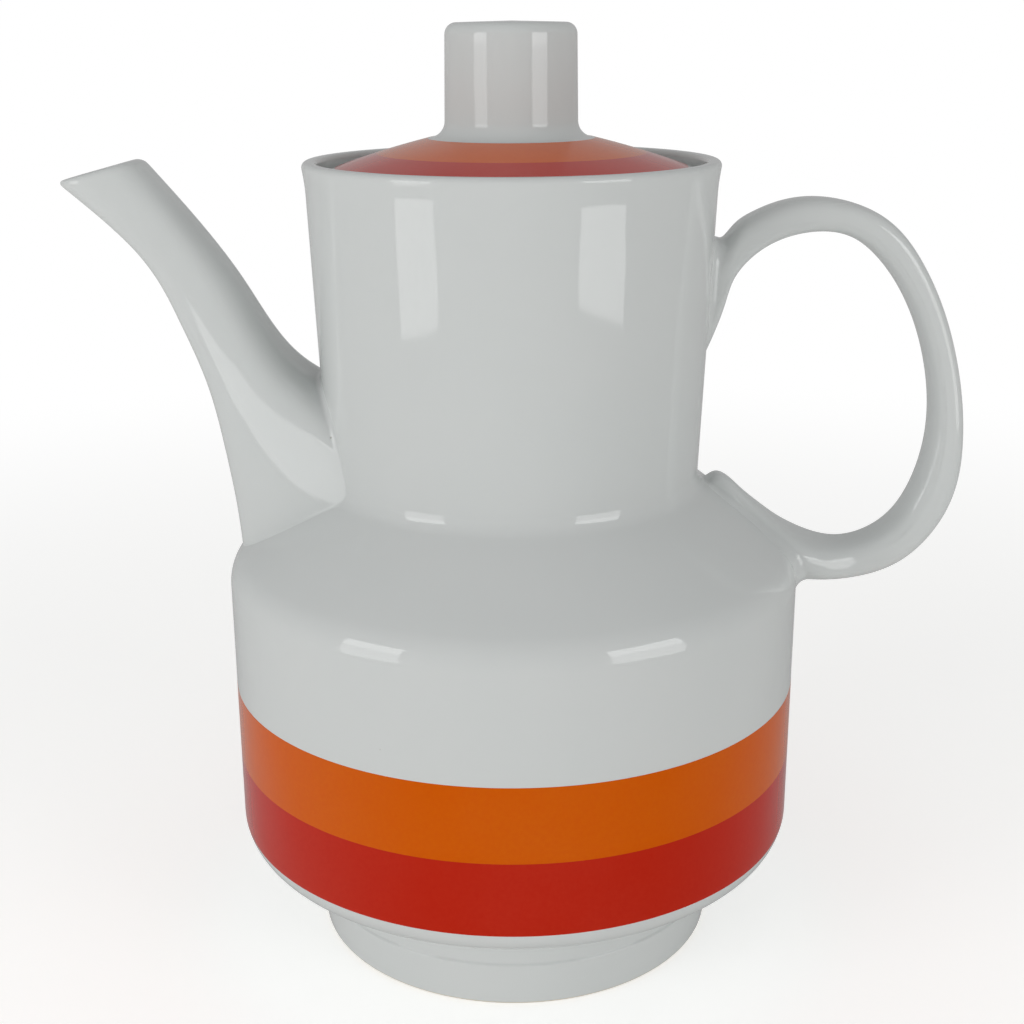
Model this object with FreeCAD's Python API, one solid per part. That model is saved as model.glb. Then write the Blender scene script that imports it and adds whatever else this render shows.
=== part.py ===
import FreeCAD
import Part
import math
import os

# Porcelain coffee pot with a lift-off lid, in millimetres.
# The pot turns about Z and stands on z = 0. The spout points along -X, the handle along +X.

# Foot ring
FOOT_RADIUS = 45.6            # outside, where it stands
FOOT_WIDTH = 4.0              # of the standing ring
FOOT_EDGE = 1.3               # rounding of the standing ring
FOOT_LEAN = 1.1               # the foot is this much wider at its step than where it stands
FOOT_STEP_HEIGHT = 10.4       # of the fine step round the foot
FOOT_STEP = 0.4               # size of that step
FOOT_HEIGHT = 20.6            # up to the belly's underside
FOOT_COVE = 6.0               # hollow rounding between foot and underside
RECESS_DEPTH = 6.0            # of the hollow under the base
BASE_THICKNESS = 4.5

# Belly, shoulder and neck
WALL = 4.0
BELLY_RADIUS = 63.7
UNDERSIDE_RISE = 2.9          # the underside rises this much from the foot to the belly
BELLY_TURN = 7.0              # rounding from the underside into the belly
BELLY_HEIGHT = 66.0           # from the underside's edge to the shoulder's edge
SHOULDER_ROUNDING = 9.0
SHOULDER_RISE = 17.7          # from the shoulder's edge to the foot of the neck
NECK_RADIUS = 40.8            # outside, at the foot of the neck
NECK_ROUNDING = 5.0           # hollow rounding at the foot of the neck
NECK_HEIGHT = 69.0            # from the foot of the neck to the rim's top
NECK_SPREAD = 2.7             # widening of the neck up to where the rim flares
RIM_FLARE = 0.8               # further widening up to the rim
RIM_HEIGHT = 16.2             # of the flared part
RIM_THICKNESS = 3.3
RIM_ROUNDING = 1.5

# Ledge inside the rim, with a notch that lets the lid's lug pass
LEDGE_DEPTH = 5.2             # below the rim's top
LEDGE_WIDTH = 5.0             # how far it stands in from the rim's inside
LEDGE_THICKNESS = 4.0
LEDGE_EDGE = 0.6
NOTCH_PLAY = 1.6              # round the lug, each way

# Enamel bands: thin inlays, flush with the glaze
ENAMEL = 0.3
BAND_GAP = 0.1                # from the top of the belly's turn to the red band
RED_BAND_HEIGHT = 15.6
ORANGE_BAND_HEIGHT = 16.7

# Lid
LID_PLAY = 2.0                # between the lid's edge and the rim's inside
LID_SEAT_GAP = 0.2            # the lid's glaze keeps it this far off the ledge
LID_EDGE_HEIGHT = 2.9
LID_EDGE_ROUNDING = 1.4
LID_WALL = 4.0
LID_BORDER = 2.0              # white border outside the red ring
RED_RING_WIDTH = 8.5
RED_RING_RISE = 2.9           # of the dome over the red ring
ORANGE_RING_WIDTH = 10.5
ORANGE_RING_RISE = 2.85       # of the dome over the orange ring
BORDER_RISE = 0.6             # of the dome over the white border
FLANGE_PLAY = 0.6             # between the flange and the ledge
FLANGE_DEPTH = 14.0
FLANGE_WALL = 3.0
FLANGE_EDGE = 1.0
LUG_HEIGHT = 4.0
LUG_REACH = 2.4               # how far the lug stands out of the flange
LUG_WIDTH = 9.0
LUG_DROP = 2.5                # below the ledge's underside

# Knob
KNOB_RADIUS = 14.05           # at its foot
KNOB_TAPER = 0.35             # narrower at the top by this much
KNOB_HEIGHT = 23.55
KNOB_EDGE = 2.5
KNOB_FOOT_SPREAD = 3.5        # how far its hollow foot rounding spreads on the dome
KNOB_WALL = 3.8
KNOB_LIP = 0.3                # thickness of the foot's thin edge
VENT_RADIUS = 2.0             # hole in the dome that lets the closed knob be fired

# Spout. A station is (front out, front up, back out, back up, half width): the spout's front and back in
# its middle plane, measured outwards and upwards from the shoulder's edge or from the rim's outer edge.
SPOUT_WALL = 2.8
SPOUT_ROOT_STATIONS = [
    (-2.0, -4.0, -52.0, -1.5, 21.0),
    (-1.1, 9.5, -50.0, 16.5, 20.3),
    (0.7, 23.9, -33.0, 34.0, 16.0),
    (3.5, 38.0, -17.7, 44.6, 11.8),
]
SPOUT_MOUTH_STATIONS = [
    (28.2, -34.0, 13.3, -25.8, 8.8),
    (37.5, -18.5, 25.2, -8.9, 7.8),
    (51.3, -4.4, 33.6, 0.2, 7.6),
]
POURING_HOLE_RADIUS = 9.0
POURING_HOLE_TILT = 35.0      # of the hole's axis above the level, in degrees

# Handle. The same kind of stations: outer edge, inner edge, half width.
HANDLE_TOP_STATIONS = [
    (-6.3, -17.7, -5.0, -49.0, 7.5),
    (1.0, -16.1, 1.2, -33.0, 7.2),
    (3.9, -13.1, 3.0, -26.6, 6.8),
    (7.2, -11.1, 6.8, -21.6, 6.4),
    (20.1, -8.2, 20.7, -15.5, 6.2),
    (34.2, -11.8, 29.9, -17.9, 6.2),
    (44.3, -21.8, 38.0, -25.7, 6.2),
    (53.2, -42.8, 45.9, -44.9, 6.4),
]
HANDLE_ROOT_STATIONS = [
    (36.6, 24.8, 27.4, 24.8, 6.6),
    (34.0, 8.0, 23.8, 12.2, 6.8),
    (25.2, -3.6, 18.4, 6.0, 7.0),
    (12.9, -7.8, 9.5, 2.95, 7.6),
    (0.5, -7.6, -0.2, 5.4, 10.0),
    (-14.0, -3.5, -8.0, 10.4, 9.0),
    (-23.0, 7.5, -16.2, 17.0, 6.5),
    (-28.0, 13.5, -23.5, 19.0, 4.5),
]

# Heights and radii that follow from the sizes above
FOOT_TOP_RADIUS = FOOT_RADIUS + FOOT_LEAN
UNDERSIDE_EDGE = FOOT_HEIGHT + UNDERSIDE_RISE
SHOULDER_EDGE = UNDERSIDE_EDGE + BELLY_HEIGHT
NECK_FOOT = SHOULDER_EDGE + SHOULDER_RISE
RIM_TOP = NECK_FOOT + NECK_HEIGHT
FLARE_RADIUS = NECK_RADIUS + NECK_SPREAD
FLARE_FOOT = RIM_TOP - RIM_HEIGHT
RIM_RADIUS = FLARE_RADIUS + RIM_FLARE
RIM_INSIDE = RIM_RADIUS - RIM_THICKNESS
LEDGE_TOP = RIM_TOP - LEDGE_DEPTH
LEDGE_BOTTOM = LEDGE_TOP - LEDGE_THICKNESS
LEDGE_RADIUS = RIM_INSIDE - LEDGE_WIDTH
FLOOR = RECESS_DEPTH + BASE_THICKNESS
UNDERSIDE_WIDTH = BELLY_RADIUS - FOOT_TOP_RADIUS + FOOT_STEP
UNDERSIDE_SLOPE = math.atan2(UNDERSIDE_RISE, UNDERSIDE_WIDTH)
BELLY_TURN_TOP = UNDERSIDE_EDGE + BELLY_TURN * math.tan((math.pi / 2 - UNDERSIDE_SLOPE) / 2)
RED_BAND_BOTTOM = BELLY_TURN_TOP + BAND_GAP
RED_BAND_TOP = RED_BAND_BOTTOM + RED_BAND_HEIGHT
ORANGE_BAND_TOP = RED_BAND_TOP + ORANGE_BAND_HEIGHT
LID_RADIUS = RIM_INSIDE - LID_PLAY
LID_BOTTOM = LEDGE_TOP + LID_SEAT_GAP
LID_EDGE_TOP = LID_BOTTOM + LID_EDGE_HEIGHT
RED_RING_RADIUS = LID_RADIUS - LID_BORDER
ORANGE_RING_RADIUS = RED_RING_RADIUS - RED_RING_WIDTH
DOME_FLAT_RADIUS = ORANGE_RING_RADIUS - ORANGE_RING_WIDTH
RED_RING_FOOT = LID_EDGE_TOP + BORDER_RISE
ORANGE_RING_FOOT = RED_RING_FOOT + RED_RING_RISE
DOME_TOP = ORANGE_RING_FOOT + ORANGE_RING_RISE
FLANGE_RADIUS = LEDGE_RADIUS - FLANGE_PLAY
FLANGE_BOTTOM = LID_BOTTOM - FLANGE_DEPTH
LUG_TOP = LEDGE_BOTTOM - LUG_DROP

AXIS_POINT = FreeCAD.Vector(0, 0, 0)
UP = FreeCAD.Vector(0, 0, 1)
FULL_TURN = 360.0
SPOUT_SIDE = 180.0            # bearing of the spout about the axis, in degrees
LEAST_EDGE = 1e-6             # shorter edges are left out of an outline
OVAL_POINTS = 12              # points that each oval section runs through


def on_section(radius, height):
    """A point of the half plane that a turned piece is drawn in."""
    return FreeCAD.Vector(radius, 0, height)


def rounded_outline(corners):
    """Closed face in the half plane, from (radius, height, rounding) corners."""
    points = [on_section(radius, height) for radius, height, rounding in corners]
    bends = []
    for index, corner in enumerate(points):
        rounding = corners[index][2]
        if rounding == 0:
            bends.append((corner, None, corner))
            continue
        back = (points[index - 1] - corner).normalize()
        ahead = (points[(index + 1) % len(points)] - corner).normalize()
        half_angle = back.getAngle(ahead) / 2
        reach = rounding / math.tan(half_angle)
        inwards = (back + ahead).normalize()
        crown = corner + inwards * (rounding / math.sin(half_angle) - rounding)
        bends.append((corner + back * reach, crown, corner + ahead * reach))
    edges = []
    for index, (start, crown, end) in enumerate(bends):
        previous_end = bends[index - 1][2]
        if previous_end.distanceToPoint(start) > LEAST_EDGE:
            edges.append(Part.LineSegment(previous_end, start).toShape())
        if crown is not None:
            edges.append(Part.Arc(start, crown, end).toShape())
    return Part.Face(Part.Wire(edges))


def turned(corners, angle=FULL_TURN):
    """Solid of revolution about the pot's axis."""
    solid = rounded_outline(corners).revolve(AXIS_POINT, UP, angle)
    if solid.Volume < 0:
        solid.reverse()
    return solid


def inset(path, wall):
    """The open (radius, height) path moved to its right by the wall's thickness."""
    moved = []
    for start, end in zip(path[:-1], path[1:]):
        along = (on_section(*end) - on_section(*start)).normalize()
        right = on_section(along.z, -along.x)
        moved.append((on_section(*start) + right * wall, on_section(*end) + right * wall))
    corners = [moved[0][0]]
    for (a, b), (c, d) in zip(moved[:-1], moved[1:]):
        first = b - a
        second = d - c
        cross = first.x * second.z - first.z * second.x
        share = ((c.x - a.x) * second.z - (c.z - a.z) * second.x) / cross
        corners.append(a + first * share)
    corners.append(moved[-1][1])
    return [(corner.x, corner.z) for corner in corners]


def largest_solid(shape):
    """The main piece that a cut leaves."""
    return max(shape.Solids, key=lambda solid: solid.Volume)


def outer_corners(with_band_groove):
    """The pot's outside, from the foot's standing ring up to the rim's outer edge."""
    corners = [
        (FOOT_RADIUS, 0, FOOT_EDGE),
        (FOOT_TOP_RADIUS, FOOT_STEP_HEIGHT, 0),
        (FOOT_TOP_RADIUS - FOOT_STEP, FOOT_STEP_HEIGHT + FOOT_STEP, 0),
        (FOOT_TOP_RADIUS - FOOT_STEP, FOOT_HEIGHT, FOOT_COVE),
        (BELLY_RADIUS, UNDERSIDE_EDGE, BELLY_TURN),
    ]
    if with_band_groove:
        corners += [
            (BELLY_RADIUS, RED_BAND_BOTTOM, 0),
            (BELLY_RADIUS - ENAMEL, RED_BAND_BOTTOM, 0),
            (BELLY_RADIUS - ENAMEL, ORANGE_BAND_TOP, 0),
            (BELLY_RADIUS, ORANGE_BAND_TOP, 0),
        ]
    corners += [
        (BELLY_RADIUS, SHOULDER_EDGE, SHOULDER_ROUNDING),
        (NECK_RADIUS, NECK_FOOT, NECK_ROUNDING),
        (FLARE_RADIUS, FLARE_FOOT, RIM_HEIGHT),
        (RIM_RADIUS, RIM_TOP, RIM_ROUNDING),
    ]
    return corners


def filled_pot():
    """The pot's outside as a solid block, to trim what is luted on it."""
    return turned([(0, 0, 0)] + outer_corners(False) + [(0, RIM_TOP, 0)])


def make_pot_body():
    """Cast body: foot, belly, shoulder, neck and rim, with the ledge, its notch and the pouring hole."""
    inside = inset([
        (FLARE_RADIUS, FLARE_FOOT),
        (NECK_RADIUS, NECK_FOOT),
        (BELLY_RADIUS, SHOULDER_EDGE),
        (BELLY_RADIUS, UNDERSIDE_EDGE),
        (FOOT_TOP_RADIUS - FOOT_STEP, FOOT_HEIGHT),
        (FOOT_TOP_RADIUS - FOOT_STEP, FLOOR),
    ], WALL)
    inside_roundings = [
        WALL,
        NECK_ROUNDING + WALL,
        max(SHOULDER_ROUNDING - WALL, 0),
        max(BELLY_TURN - WALL, 0),
        FOOT_COVE,
        WALL,
    ]
    recess_radius = FOOT_RADIUS - FOOT_WIDTH
    corners = [(0, RECESS_DEPTH, 0), (recess_radius, RECESS_DEPTH, FOOT_EDGE), (recess_radius, 0, FOOT_EDGE)]
    corners += outer_corners(True)
    corners += [
        (RIM_INSIDE, RIM_TOP, RIM_ROUNDING),
        (RIM_INSIDE, LEDGE_TOP, LEDGE_EDGE),
        (LEDGE_RADIUS, LEDGE_TOP, LEDGE_EDGE),
        (LEDGE_RADIUS, LEDGE_BOTTOM, LEDGE_EDGE),
    ]
    corners += [(radius, height, rounding) for (radius, height), rounding in zip(inside, inside_roundings)]
    corners.append((0, FLOOR, 0))
    body = turned(corners)

    notch_radius = FLANGE_RADIUS + LUG_REACH + NOTCH_PLAY
    notch_angle = math.degrees((LUG_WIDTH + 2 * NOTCH_PLAY) / FLANGE_RADIUS)
    notch = turned([
        (FLANGE_RADIUS, FLARE_FOOT, 0),
        (notch_radius, FLARE_FOOT, 0),
        (notch_radius, RIM_TOP, 0),
        (FLANGE_RADIUS, RIM_TOP, 0),
    ], notch_angle)
    notch.rotate(AXIS_POINT, UP, SPOUT_SIDE - notch_angle / 2)

    tilt = math.radians(POURING_HOLE_TILT)
    outwards = FreeCAD.Vector(-math.cos(tilt), 0, math.sin(tilt))
    middle = FreeCAD.Vector(-NECK_RADIUS, 0, NECK_FOOT - WALL)
    hole_length = 2 * (POURING_HOLE_RADIUS + WALL)
    hole_start = middle - outwards * (hole_length / 2)
    hole = Part.makeCylinder(POURING_HOLE_RADIUS, hole_length, hole_start, outwards)
    return largest_solid(body.cut(notch).cut(hole))


def oval(first_edge, second_edge, half_width):
    """Points round an oval across the spout or handle, between two points of the middle plane."""
    middle = (first_edge + second_edge) * 0.5
    across = (first_edge - second_edge) * 0.5
    side = FreeCAD.Vector(0, half_width, 0)
    points = []
    for step in range(OVAL_POINTS):
        angle = 2 * math.pi * step / OVAL_POINTS
        points.append(middle + across * math.cos(angle) + side * math.sin(angle))
    return points


def placed_stations(stations, radius, height, side):
    """Stations as points: side is -1 towards the spout and +1 towards the handle."""
    placed = []
    for first_out, first_up, second_out, second_up, half_width in stations:
        first = FreeCAD.Vector(side * (radius + first_out), 0, height + first_up)
        second = FreeCAD.Vector(side * (radius + second_out), 0, height + second_up)
        placed.append((first, second, half_width))
    return placed


def lofted(stations):
    """Smooth solid whose skin runs through the ovals of a row of stations."""
    along = [0.0]
    for (first, second, _), (next_first, next_second, _) in zip(stations[:-1], stations[1:]):
        along.append(along[-1] + (next_first + next_second - first - second).Length / 2)
    lengthwise = []
    for points in zip(*[oval(*station) for station in stations]):
        line = Part.BSplineCurve()
        line.interpolate(Points=list(points), Parameters=along)
        lengthwise.append(line)
    around = [step / OVAL_POINTS for step in range(OVAL_POINTS + 1)]
    crosswise = []
    for poles in zip(*[line.getPoles() for line in lengthwise]):
        ring = Part.BSplineCurve()
        ring.interpolate(Points=list(poles), PeriodicFlag=True, Parameters=around)
        crosswise.append(ring)
    line = lengthwise[0]
    ring = crosswise[0]
    skin = Part.BSplineSurface()
    skin.buildFromPolesMultsKnots(
        [each.getPoles() for each in crosswise],
        line.getMultiplicities(), ring.getMultiplicities(), line.getKnots(), ring.getKnots(),
        False, True, line.Degree, ring.Degree,
    )
    side = skin.toShape()
    rims = [edge for edge in side.Edges if not edge.isSeam(side)]
    closed = Part.makeCompound([side] + [Part.Face(Part.Wire([rim])) for rim in rims])
    closed.sewShape()
    solid = Part.Solid(closed.Shells[0])
    if solid.Volume < 0:
        solid.reverse()
    return solid


def make_spout():
    """Hollow cast spout, trimmed where it is luted on the shoulder and the neck."""
    stations = placed_stations(SPOUT_ROOT_STATIONS, BELLY_RADIUS, SHOULDER_EDGE, -1)
    stations += placed_stations(SPOUT_MOUTH_STATIONS, RIM_RADIUS, RIM_TOP, -1)
    channel = []
    for front, back, half_width in stations:
        inwards = (back - front).normalize() * SPOUT_WALL
        channel.append((front + inwards, back - inwards, half_width - SPOUT_WALL))
    last_front, last_back, last_half_width = channel[-1]
    past_front, past_back, past_half_width = channel[-2]
    beyond = (last_front + last_back - past_front - past_back).normalize() * (2 * SPOUT_WALL)
    channel.append((last_front + beyond, last_back + beyond, last_half_width))
    hollow = lofted(stations).cut(lofted(channel))
    return largest_solid(hollow.cut(filled_pot()))


def make_handle():
    """Cast ear handle, trimmed where it is luted on the neck and the shoulder."""
    stations = placed_stations(HANDLE_TOP_STATIONS, RIM_RADIUS, RIM_TOP, 1)
    stations += placed_stations(HANDLE_ROOT_STATIONS, BELLY_RADIUS, SHOULDER_EDGE, 1)
    return largest_solid(lofted(stations).cut(filled_pot()))


def make_band(bottom, top):
    """Enamel band in its groove round the belly."""
    inner = BELLY_RADIUS - ENAMEL
    return turned([(inner, bottom, 0), (BELLY_RADIUS, bottom, 0), (BELLY_RADIUS, top, 0), (inner, top, 0)])


def make_lid_cover():
    """Cast lid: domed cover, flat seat and centring flange, with the vent hole under the knob."""
    underside = inset([
        (LID_RADIUS, LID_EDGE_TOP),
        (ORANGE_RING_RADIUS, ORANGE_RING_FOOT),
        (DOME_FLAT_RADIUS, DOME_TOP),
    ], -LID_WALL)
    flange_inside = FLANGE_RADIUS - FLANGE_WALL
    (low_radius, low_height), (mid_radius, mid_height), (top_radius, top_height) = underside
    share = (flange_inside - mid_radius) / (low_radius - mid_radius)
    meeting_height = mid_height + share * (low_height - mid_height)
    return turned([
        (VENT_RADIUS, DOME_TOP - LID_WALL, 0),
        (top_radius, DOME_TOP - LID_WALL, 0),
        (mid_radius, mid_height, 0),
        (flange_inside, meeting_height, FLANGE_EDGE),
        (flange_inside, FLANGE_BOTTOM, FLANGE_EDGE),
        (FLANGE_RADIUS, FLANGE_BOTTOM, FLANGE_EDGE),
        (FLANGE_RADIUS, LID_BOTTOM, 0),
        (LID_RADIUS, LID_BOTTOM, LEDGE_EDGE),
        (LID_RADIUS, LID_EDGE_TOP, LID_EDGE_ROUNDING),
        (RED_RING_RADIUS, RED_RING_FOOT, 0),
        (RED_RING_RADIUS, RED_RING_FOOT - ENAMEL, 0),
        (ORANGE_RING_RADIUS, ORANGE_RING_FOOT - ENAMEL, 0),
        (DOME_FLAT_RADIUS, DOME_TOP - ENAMEL, 0),
        (DOME_FLAT_RADIUS, DOME_TOP, 0),
        (VENT_RADIUS, DOME_TOP, 0),
    ])


def make_ring(outer_radius, outer_height, inner_radius, inner_height):
    """Enamel ring in its groove round the lid's dome."""
    return turned([
        (outer_radius, outer_height - ENAMEL, 0),
        (outer_radius, outer_height, 0),
        (inner_radius, inner_height, 0),
        (inner_radius, inner_height - ENAMEL, 0),
    ])


def make_lid_knob():
    """Hollow cast knob, luted on the dome's flat top over the vent hole."""
    foot_radius = KNOB_RADIUS + KNOB_FOOT_SPREAD
    hollow_radius = KNOB_RADIUS - KNOB_WALL
    knob_top = DOME_TOP + KNOB_HEIGHT
    return turned([
        (hollow_radius, DOME_TOP, 0),
        (foot_radius, DOME_TOP, 0),
        (foot_radius, DOME_TOP + KNOB_LIP, 0),
        (KNOB_RADIUS, DOME_TOP + KNOB_LIP, KNOB_FOOT_SPREAD - KNOB_LIP),
        (KNOB_RADIUS - KNOB_TAPER, knob_top, KNOB_EDGE),
        (0, knob_top, 0),
        (0, knob_top - KNOB_WALL, 0),
        (hollow_radius - KNOB_TAPER, knob_top - KNOB_WALL, KNOB_EDGE),
    ])


def make_lid_catch():
    """Lug on the flange, below the ledge and in line with its notch."""
    lug_angle = math.degrees(LUG_WIDTH / FLANGE_RADIUS)
    lug = turned([
        (FLANGE_RADIUS, LUG_TOP - LUG_HEIGHT, 0),
        (FLANGE_RADIUS + LUG_REACH, LUG_TOP - LUG_HEIGHT + LUG_REACH / 2, 0),
        (FLANGE_RADIUS + LUG_REACH, LUG_TOP, 0),
        (FLANGE_RADIUS, LUG_TOP, 0),
    ], lug_angle)
    lug.rotate(AXIS_POINT, UP, SPOUT_SIDE - lug_angle / 2)
    return lug


PIECES = {
    "pot_body": make_pot_body(),
    "spout": make_spout(),
    "handle": make_handle(),
    "red_band": make_band(RED_BAND_BOTTOM, RED_BAND_TOP),
    "orange_band": make_band(RED_BAND_TOP, ORANGE_BAND_TOP),
    "lid_cover": make_lid_cover(),
    "lid_red_ring": make_ring(RED_RING_RADIUS, RED_RING_FOOT, ORANGE_RING_RADIUS, ORANGE_RING_FOOT),
    "lid_orange_ring": make_ring(ORANGE_RING_RADIUS, ORANGE_RING_FOOT, DOME_FLAT_RADIUS, DOME_TOP),
    "lid_knob": make_lid_knob(),
    "lid_catch": make_lid_catch(),
}

os.makedirs("parts", exist_ok=True)
for name, shape in PIECES.items():
    shape.exportStep("parts/" + name + ".step")
    box = shape.BoundBox
    print(name, "valid", shape.isValid(), "volume", round(shape.Volume, 1),
          "z", round(box.ZMin, 2), round(box.ZMax, 2), "x", round(box.XMin, 2), round(box.XMax, 2))
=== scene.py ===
import math

import bmesh
import bpy
import numpy as np
from mathutils import Euler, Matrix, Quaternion, Vector


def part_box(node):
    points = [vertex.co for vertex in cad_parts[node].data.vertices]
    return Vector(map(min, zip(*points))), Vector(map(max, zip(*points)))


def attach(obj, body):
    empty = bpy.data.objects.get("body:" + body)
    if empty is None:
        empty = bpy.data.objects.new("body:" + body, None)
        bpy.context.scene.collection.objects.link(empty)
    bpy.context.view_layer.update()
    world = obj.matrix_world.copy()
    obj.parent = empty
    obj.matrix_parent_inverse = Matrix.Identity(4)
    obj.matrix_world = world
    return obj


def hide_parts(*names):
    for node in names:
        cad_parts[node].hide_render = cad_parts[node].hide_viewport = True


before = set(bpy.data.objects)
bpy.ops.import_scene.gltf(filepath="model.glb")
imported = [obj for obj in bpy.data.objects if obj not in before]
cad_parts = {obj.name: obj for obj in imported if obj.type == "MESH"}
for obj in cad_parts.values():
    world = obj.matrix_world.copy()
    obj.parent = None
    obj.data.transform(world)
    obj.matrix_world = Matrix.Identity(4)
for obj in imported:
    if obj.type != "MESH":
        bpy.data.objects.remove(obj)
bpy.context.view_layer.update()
MM = 0.001                    # sizes below are in millimetres, meshes in metres


# Pot body
# Porcelain, slip-cast hollow in one piece with its foot ring, shoulder, neck and rim, dipped in clear glaze
# and fired. Its section is turned about the axis; the ring that it stands on is wiped bare before firing.
body_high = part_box("pot_body")[1]
BELLY_RADIUS = body_high.y / MM
RIM_TOP = body_high.z / MM
FOOT_RADIUS = 45.6
FOOT_WIDTH = 4.0
FOOT_EDGE = 1.3
FOOT_LEAN = 1.1               # the foot ring widens upwards by this
FOOT_STEP_HEIGHT = 10.4
FOOT_STEP = 0.4               # the ring steps in by this half way up
FOOT_STEP_ROUNDING = 0.5
FOOT_HEIGHT = 20.6
FOOT_COVE = 3.2
RECESS_DEPTH = 6.0
FLOOR_HEIGHT = 10.5
WALL = 4.0
UNDERSIDE_EDGE = 23.5
BELLY_TURN = 7.6
SHOULDER_EDGE = 89.5
SHOULDER_ROUNDING = 8.5
NECK_RADIUS = 41.0
NECK_FOOT = 107.2
NECK_ROUNDING = 5.2
FLARE_RADIUS = 43.55          # the neck widens up to here, and a little faster from here to the rim
FLARE_FOOT = RIM_TOP - 5.0
FLARE_ROUNDING = 30.0
RIM_RADIUS = 44.3
RIM_THICKNESS = 3.3
RIM_ROUNDING = 1.15
LEDGE_TOP = RIM_TOP - 5.2     # the lid rests on a ledge inside the rim
LEDGE_WIDTH = 5.0
LEDGE_BOTTOM = LEDGE_TOP - 4.0
LEDGE_ROOT = LEDGE_TOP - 11.0
LEDGE_EDGE = 0.6
POURING_HOLE_RADIUS = 9.0
POURING_HOLE_TILT = math.radians(35.0)
HOLE_REACH = 13.0             # half the length of the drill that makes the hole
HOLE_SIDES = 48
NOTCH_RADIUS = 39.4           # the notch in the ledge lets the lid's lug pass
NOTCH_DEPTH = 8.0
NOTCH_HALF_ANGLE = math.radians(9.9)
NOTCH_STEPS = 9
ARC_STEP = math.radians(7.0)  # turn of one facet of a rounding
RUN_STEP = 3.6                # longest facet of a straight run
SEGMENTS = 288                # facets round the axis
HUB_RADIUS = 1.0              # of the helper circle that carries an outline round
MERGE_DISTANCE = 0.002        # points nearer than this are one
CREASE = math.radians(32.0)   # sharper edges stay sharp


def rounded(corners):
    """Points of an outline through (radius, height, rounding) corners, in short facets."""
    spots = [np.array(corner[:2]) for corner in corners]
    bends = []
    for index, spot in enumerate(spots):
        rounding = corners[index][2]
        if rounding == 0:
            bends.append([spot])
            continue
        back = spots[index - 1] - spot
        ahead = spots[index + 1] - spot
        back = back / np.linalg.norm(back)
        ahead = ahead / np.linalg.norm(ahead)
        half = math.acos(np.clip(back @ ahead, -1, 1)) / 2
        inwards = (back + ahead) / np.linalg.norm(back + ahead)
        centre = spot + inwards * (rounding / math.sin(half))
        start = spot + back * (rounding / math.tan(half)) - centre
        end = spot + ahead * (rounding / math.tan(half)) - centre
        turn = math.pi - 2 * half
        steps = max(2, math.ceil(turn / ARC_STEP))
        bend = []
        for step in range(steps + 1):
            angle = turn * step / steps
            arm = (start * math.sin(turn - angle) + end * math.sin(angle)) / math.sin(turn)
            bend.append(centre + arm)
        bends.append(bend)
    points = []
    for bend, following in zip(bends, bends[1:] + [[]]):
        points += bend
        if following:
            run = following[0] - bend[-1]
            pieces = math.ceil(np.linalg.norm(run) / RUN_STEP)
            points += [bend[-1] + run * step / pieces for step in range(1, pieces)]
    return np.array(points)


def add_node(tree, kind, settings, sockets):
    """A node with its settings; a socket takes a value, or a link from a (node, output) pair.

    A mix node's sockets go by number: 0 is the factor, 2 and 3 are two values, 6 and 7 two colours.
    """
    made = tree.nodes.new(kind)
    for name, value in settings.items():
        setattr(made, name, value)
    for name, value in sockets.items():
        if isinstance(value, tuple) and isinstance(value[0], bpy.types.Node):
            tree.links.new(value[0].outputs[value[1]], made.inputs[name])
        else:
            made.inputs[name].default_value = value
    return made


def turning_tree():
    """Nodes that turn an outline drawn in the XZ plane about Z."""
    hub = HUB_RADIUS * MM
    tree = bpy.data.node_groups.new("turned_about_the_axis", "GeometryNodeTree")
    tree.interface.new_socket("Outline", in_out="INPUT", socket_type="NodeSocketGeometry")
    tree.interface.new_socket("Segments", in_out="INPUT", socket_type="NodeSocketInt")
    tree.interface.new_socket("Finish", in_out="INPUT", socket_type="NodeSocketMaterial")
    tree.interface.new_socket("Piece", in_out="OUTPUT", socket_type="NodeSocketGeometry")
    given = add_node(tree, "NodeGroupInput", {}, {})
    line = add_node(tree, "GeometryNodeMeshToCurve", {}, {"Mesh": (given, "Outline")})
    laid = add_node(tree, "GeometryNodeTransform", {}, {
        "Geometry": (line, "Curve"),
        "Translation": (-hub, 0, 0),
        "Rotation": (math.pi / 2, 0, 0),
    })
    circle = add_node(tree, "GeometryNodeCurvePrimitiveCircle", {}, {
        "Resolution": (given, "Segments"),
        "Radius": hub,
    })
    upright = add_node(tree, "GeometryNodeSetCurveNormal", {"mode": "Z_UP"}, {"Curve": (circle, "Curve")})
    swept = add_node(tree, "GeometryNodeCurveToMesh", {}, {
        "Curve": (upright, "Curve"),
        "Profile Curve": (laid, "Geometry"),
    })
    joined = add_node(tree, "GeometryNodeMergeByDistance", {}, {
        "Geometry": (swept, "Mesh"),
        "Distance": MERGE_DISTANCE * MM,
    })
    smooth = add_node(tree, "GeometryNodeSetShadeSmooth", {}, {"Geometry": (joined, "Geometry")})
    real = add_node(tree, "GeometryNodeRealizeInstances", {}, {"Geometry": (smooth, "Geometry")})
    finished = add_node(tree, "GeometryNodeSetMaterial", {}, {
        "Geometry": (real, "Geometry"),
        "Material": (given, "Finish"),
    })
    add_node(tree, "NodeGroupOutput", {}, {"Piece": (finished, "Geometry")})
    return tree


TURNING = turning_tree()


def facing_out(mesh):
    """Turns the faces of a closed mesh outwards and keeps its crisp edges."""
    work = bmesh.new()
    work.from_mesh(mesh)
    bmesh.ops.recalc_face_normals(work, faces=work.faces)
    for face in work.faces:
        face.smooth = True
    work.to_mesh(mesh)
    work.free()
    mesh.set_sharp_from_angle(angle=CREASE)


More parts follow.
